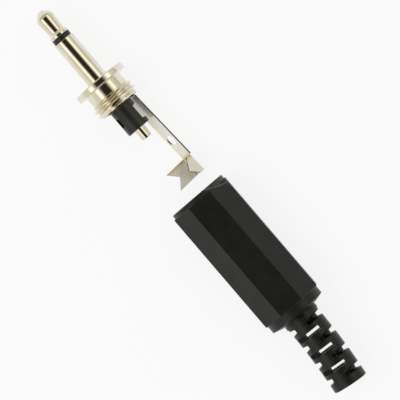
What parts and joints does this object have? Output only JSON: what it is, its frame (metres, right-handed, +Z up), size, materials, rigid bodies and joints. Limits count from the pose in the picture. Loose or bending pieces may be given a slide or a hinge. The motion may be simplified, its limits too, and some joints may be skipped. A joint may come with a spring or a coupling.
{
  "type": "mono jack plug",
  "caption": "Straight two-pole 3.5 mm jack plug with solder terminals and cable clamp; its eight-sided screw barrel with slotted strain relief is drawn back.",
  "frame": {"origin": "under the middle of the whole drawn-apart plug, on the surface that it lies on", "axes": "+X along the plug's axis from the tip to the cable end, +Z up from the surface, +Y to the side that the tag's strip leans to"},
  "size_m": [0.0756, 0.0102, 0.0103],
  "materials": {
    "plated_contact": "bright nickel plate",
    "plated_body": "bright nickel plate",
    "plated_sheet": "nickel plated sheet",
    "insulator": "moulded, satin",
    "barrel_plastic": "moulded, fine matte",
    "boot_rubber": "moulded, satin"
  },
  "bodies": {
    "plug_insert": {"tip_contact": "plated_contact", "tip_insulator": "insulator", "sleeve_body": "plated_body", "sleeve_tag": "plated_sheet", "rear_insulator": "insulator"},
    "boot": {"strain_relief": "boot_rubber"},
    "screw_barrel": {"barrel": "barrel_plastic"}
  },
  "joints": [
    {"name": "draw_off", "type": "slide", "parent": "plug_insert", "child": "boot", "axis": [1, 0, 0], "range_m": [-0.0224, 0]},
    {"name": "barrel_turn", "type": "hinge", "parent": "boot", "child": "screw_barrel", "pos_m": [0.0114, 0, 0.00514], "axis": [1, 0, 0], "continuous": true}
  ]
}
